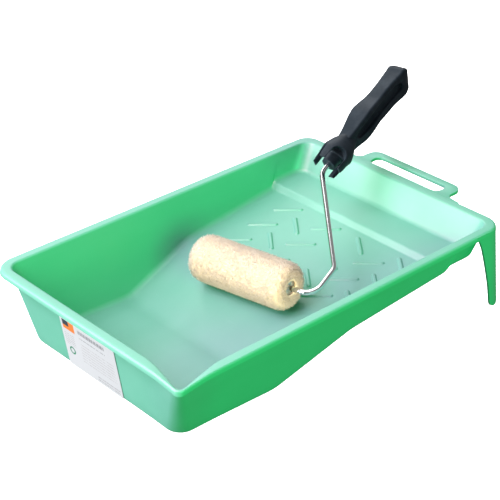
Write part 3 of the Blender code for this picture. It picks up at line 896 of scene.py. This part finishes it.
def makePileBase():
    halfLength = roller["coverLength"] / 2 - pile["baseInset"]
    radius = roller["coverRadius"] - pile["baseInset"]
    profile = coverProfile(radius, halfLength, pile["shoulder"] - pile["baseInset"], 6 * sharp)
    around = 90 * sharp
    shape = bmesh.new()
    rows = []
    for distance, along in profile:
        row = []
        for step in range(around):
            turn = 2 * math.pi * step / around
            point = Vector((along, distance * math.cos(turn), distance * math.sin(turn)))
            if distance > pile["bore"] + 0.1 * mm:
                point += Vector((0, math.cos(turn), math.sin(turn))) * lumpy(point, 0.9 * mm)
            row.append(shape.verts.new(point))
        rows.append(row)
    gridFaces(shape, rows + rows[:1], closed=True)
    bmesh.ops.recalc_face_normals(shape, faces=shape.faces)
    # the backing takes the painted-shade copy of the pile's colours
    base = addObject("pile_backing", meshFrom("pile_backing", shape), pileFinish("pileDepthPaintedShade", False))
    base.data.shade_smooth()
    base.matrix_world = axlePlace
    return base


def makeFibres(name, seed, count):
    # short tapered fibres that stand out of the backing in tufts, each with one bend
    draw = np.random.default_rng(seed)
    halfLength = roller["coverLength"] / 2 - pile["baseInset"]
    radius = roller["coverRadius"] - pile["baseInset"]
    shoulder = pile["shoulder"] - pile["baseInset"]
    straight, turnLength = 2 * (halfLength - shoulder), shoulder * math.pi / 2
    faceLength = radius - shoulder - pile["mouth"]
    shoulderArea, faceArea = 2 * turnLength * (radius - 0.4 * shoulder), 2 * faceLength * 0.6 * radius
    weights = np.array([straight * radius, shoulderArea, faceArea])
    kind = draw.choice(3, count, p=weights / weights.sum())
    share, side = draw.random(count), np.where(draw.random(count) < 0.5, -1.0, 1.0)
    bend = share * math.pi / 2
    shoulderAlong = side * (halfLength - shoulder + shoulder * np.cos(bend))
    shoulderRadius = radius - shoulder + shoulder * np.sin(bend)
    faceRadius = pile["mouth"] + 0.4 * mm + faceLength * np.sqrt(share)
    alongOf = [(share - 0.5) * straight, shoulderAlong, side * halfLength]
    radiusOf = [radius + 0 * share, shoulderRadius, faceRadius]
    tiltOf = [np.pi / 2 + 0 * share, bend, 0.25 * share]  # from the axle's direction up to straight out
    along, distance = np.choose(kind, alongOf), np.choose(kind, radiusOf)
    tilt = np.choose(kind, tiltOf)
    ends = np.where(kind == 0, np.sign(along), side)
    turn = draw.random(count) * 2 * np.pi
    outward = np.stack([np.zeros(count), np.cos(turn), np.sin(turn)], 1)
    none = np.zeros(count)
    axle = np.stack([ends, none, none], 1)
    normal = outward * np.sin(tilt)[:, None] + axle * np.cos(tilt)[:, None]
    root = outward * distance[:, None] + np.stack([along, none, none], 1) - normal * 0.6 * mm
    tuft = np.stack([np.array(noise.noise_vector(Vector(p) * 420)) for p in root]) * 0.4
    stray = draw.normal(0, 0.28, (count, 3))
    lean = normal + tuft + stray
    lean /= np.linalg.norm(lean, axis=1)[:, None]
    length = pile["fibreLength"] * draw.uniform(0.72, 1.04, count)[:, None]
    tip = root + normal * length * 0.55 + lean * length * 0.45
    middle = root + normal * length * 0.5 + lean * length * 0.05
    width = pile["fibreWidth"] * draw.uniform(0.7, 1.2, count)[:, None]
    sideways = np.cross(normal, draw.normal(0, 1, (count, 3)))
    sideways /= np.linalg.norm(sideways, axis=1)[:, None]
    other = np.cross(normal, sideways)
    corners = [math.radians(angle) for angle in (90, 210, 330)]
    points = []
    for centre, scale in ((root, 0.5), (middle, 0.42)):
        points += [centre + width * scale * (sideways * math.cos(c) + other * math.sin(c)) for c in corners]
    points.append(tip)
    vertices = np.stack(points, 1).reshape(-1, 3)
    pattern = [(0, 2, 1)]
    pattern += [(low, (low + 1) % 3, 3 + (low + 1) % 3) for low in range(3)]
    pattern += [(low, 3 + (low + 1) % 3, 3 + low) for low in range(3)]
    pattern += [(3 + low, 3 + (low + 1) % 3, 6) for low in range(3)]
    faces = (np.arange(count)[:, None, None] * 7 + np.array(pattern)[None]).reshape(-1, 3)
    data = bpy.data.meshes.new(name)
    data.from_pydata(vertices.tolist(), [], faces.tolist())
    data.shade_smooth()
    soft = np.repeat((normal + 0.45 * (lean - normal))[:, None], 7, 1).reshape(-1, 3)
    data.normals_split_custom_set_from_vertices((soft / np.linalg.norm(soft, axis=1)[:, None]).tolist())
    made = addObject(name, data)
    data.materials.append(pileFibrePaintedLight.material)
    made.matrix_world = axlePlace
    return made


grip = dict(
    # in millimetres: distance from the prongs' tips, half width, and height above and below the wire
    sections=[
        (16, 7.2, 8.4, 8.8), (32, 7.2, 8.6, 9.6), (42, 8, 10, 10.8), (50, 9, 11.8, 12.2),
        (58, 10.1, 13.3, 12), (66, 10.7, 14.2, 10.8), (76, 9.9, 13.4, 10.4), (86, 8.9, 12.1, 12),
        (98, 8.5, 12, 12.8), (110, 8.7, 12.1, 13.4), (124, 9.7, 12, 14.4), (131, 9.9, 11.9, 14.6),
        (135.5, 8.7, 8.6, 13.4),
    ],
    corner=2.2,
    endSlant=0.3,
    guard=[(0.1, 40), (8, 40), (10.2, 34), (13.1, 28), (15.6, 20.5), (16.8, 14), (16.2, 6), (15.8, 0)],
    cavity=[(13.2, 0), (13.6, 11), (12.4, 13.5), (7.8, 13.5), (7.4, 3), (0.1, 3)],
    notchHalf=8,
    notchDepth=18.5,
    groove=[
        (-2.6, 46), (3.0, 41), (6.4, 52), (8.4, 66), (6.8, 86), (6.6, 112),
        (3, 121), (-4.6, 121), (-4.2, 100), (-3.4, 76), (-3.6, 58),
    ],
    grooveBottom=5.6,
    voxel=0.5 * mm,
)


def turned(name, profile, place, steps=64):
    # a body of revolution about the handle's length, from (radius, distance) in millimetres
    shape = bmesh.new()
    rows = []
    for radius, along in profile:
        row = []
        for step in range(steps):
            turn = 2 * math.pi * step / steps
            x, z = radius * mm * math.cos(turn), radius * mm * math.sin(turn)
            row.append(shape.verts.new((x, along * mm, z)))
        rows.append(row)
    gridFaces(shape, rows, closed=True)
    shape.faces.new(rows[0])
    shape.faces.new(rows[-1])
    bmesh.ops.recalc_face_normals(shape, faces=shape.faces)
    made = addObject(name, meshFrom(name, shape))
    made.matrix_world = place
    return made


def slab(name, outline, low, high, place, axis):
    # a flat outline drawn in two axes and stretched from low to high along the third
    shape = bmesh.new()
    spots = [Vector((x, y, low)) * mm for x, y in outline]
    bottom = shape.faces.new([shape.verts.new(p) for p in spots])
    raised = bmesh.ops.extrude_face_region(shape, geom=[bottom])["geom"]
    lifted = [item for item in raised if isinstance(item, bmesh.types.BMVert)]
    bmesh.ops.translate(shape, verts=lifted, vec=(0, 0, (high - low) * mm))
    bmesh.ops.recalc_face_normals(shape, faces=shape.faces)
    made = addObject(name, meshFrom(name, shape))
    made.matrix_world = place @ axis
    return made


def cut(piece, other, operation="DIFFERENCE"):
    step = piece.modifiers.new("cut", "BOOLEAN")
    step.operation, step.solver, step.object = operation, "EXACT", other
    applied(piece)
    bpy.data.objects.remove(other)


def smoothTable(table, at):
    # a smooth curve through the table's rows, by its first column
    table = np.array(table)
    slopes = np.gradient(table[:, 1:], table[:, 0], axis=0)
    index = min(int(np.searchsorted(table[:, 0], at, side="right")) - 1, len(table) - 2)
    span = table[index + 1, 0] - table[index, 0]
    t = (at - table[index, 0]) / span
    leaving = (2 * t**3 - 3 * t**2 + 1, (t**3 - 2 * t**2 + t) * span)
    arriving = (3 * t**2 - 2 * t**3, (t**3 - t**2) * span)
    ends = (table[index, 1:], slopes[index], table[index + 1, 1:], slopes[index + 1])
    return sum(weight * end for weight, end in zip(leaving + arriving, ends))


def gripLoft(place):
    shape = bmesh.new()
    rows = []
    corner = grip["corner"]
    for distance in [*np.arange(16, 131, 2.0), 131, 132.5, 134, 135.5]:
        halfWidth, top, bottom = smoothTable(grip["sections"], distance)
        slant = grip["endSlant"] * np.interp(distance, (100, 124), (0, 1))
        row = []
        for quarter, (side, height) in enumerate(((1, top), (-1, top), (-1, -bottom), (1, -bottom))):
            for step in range(5):
                turn = math.radians(90 * quarter + 22.5 * step)
                x = side * (halfWidth - corner) + corner * math.cos(turn)
                z = height - math.copysign(corner, height) + corner * math.sin(turn)
                row.append(shape.verts.new((x * mm, (distance + slant * (z - top)) * mm, z * mm)))
        rows.append(row)
    gridFaces(shape, rows, closed=True)
    shape.faces.new(rows[0])
    shape.faces.new(rows[-1])
    bmesh.ops.recalc_face_normals(shape, faces=shape.faces)
    made = addObject("handle_grip", meshFrom("handle_grip", shape))
    made.matrix_world = place
    return made


def makeHandle():
    turn = Matrix.Rotation(-math.radians(roller["handleTurn"]), 4, "Z")
    place = axlePlace @ Matrix.Translation(stemPoint(roller["stemIn"])) @ turn
    made = gripLoft(place)
    guardLine = [(radius, distance, 0) for radius, distance in grip["guard"]]
    guardLine = [(p.x, p.y) for p in rounded(guardLine, [0, 0, 12, 16, 16, 8, 8, 0], 6)]
    cut(made, turned("guard", guardLine + grip["cavity"], place), "UNION")
    half, deep = grip["notchHalf"], grip["notchDepth"]
    arc = [math.radians(angle) for angle in range(15, 180, 15)]
    outline = [(-half, -10), (half, -10), (half, deep - half)]
    outline += [(half * math.cos(a), deep - half + half * math.sin(a)) for a in arc]
    outline.append((-half, deep - half))
    for angle in (45, 135, 225, 315):
        cut(made, slab("notch", outline, 9, 24, place, Matrix.Rotation(math.radians(angle), 4, "Y")))
    groove = [(p.x, p.y) for p in roundedLoop(grip["groove"], [3] * len(grip["groove"]), 4)]
    for side in (-1, 1):
        # drawn in depth and length, stretched across the handle's width
        axis = Matrix(((0, 0, side, 0), (0, 1, 0, 0), (1, 0, 0, 0), (0, 0, 0, 1)))
        cut(made, slab("groove", groove, grip["grooveBottom"], 16, place, axis))
    remesh = made.modifiers.new("skin", "REMESH")
    remesh.mode, remesh.use_smooth_shade = "VOXEL", True
    remesh.voxel_size = grip["voxel"] * (1 if sharp > 1 else 2)
    soften = made.modifiers.new("soften", "SMOOTH")
    soften.factor, soften.iterations = 0.5, 5
    made = applied(made)
    radius = roller["wireRadius"] / mm + 0.3
    cut(made, turned("bore", [(radius, 2), (radius, roller["socket"] + 1)], place))
    made.data.materials.clear()
    made.data.materials.append(mouldedFinish("blackHandle", colours["handle"], 0.46, 0.06, 0.2).material)
    made.data.shade_smooth()
    made.data.set_sharp_from_angle(angle=math.radians(60))
    return made


pileFibrePaintedLight = pileFinish("pileFibrePaintedLight", True)
wire = makeWire()
handle = makeHandle()
backing = makePileBase()
tufts = [makeFibres(f"pile_fibres_{part}", 11 + part, pile["fibres"] // 2) for part in range(2)]
for piece, body, slot in (
    (wire, "roller_frame", "wire_steel"),
    (handle, "roller_frame", "handle_plastic"),
    (backing, "roller_cover", "pile"),
    *((tuft, "roller_cover", "pile") for tuft in tufts),
):
    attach(piece, body)
for name in ("whiteFill", "lowFill"):
    lightOnly(softbox(name), [backing, *tufts], True)
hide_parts("wire_frame")
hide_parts("handle")
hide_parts("pile_cover")

for finish, nodes in (
    (mouldedFinish("coreBoard", (0.74, 0.71, 0.62), 0.6), ["core_tube"]),
    (mouldedFinish("bushNylon", (0.80, 0.79, 0.74), 0.42), ["bush_near", "bush_far"]),
    (zincFinish(), ["washer_near", "washer_far", "push_nut"]),
):
    for node in nodes:
        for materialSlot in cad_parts[node].material_slots:
            materialSlot.material = finish.material
print("roller made")
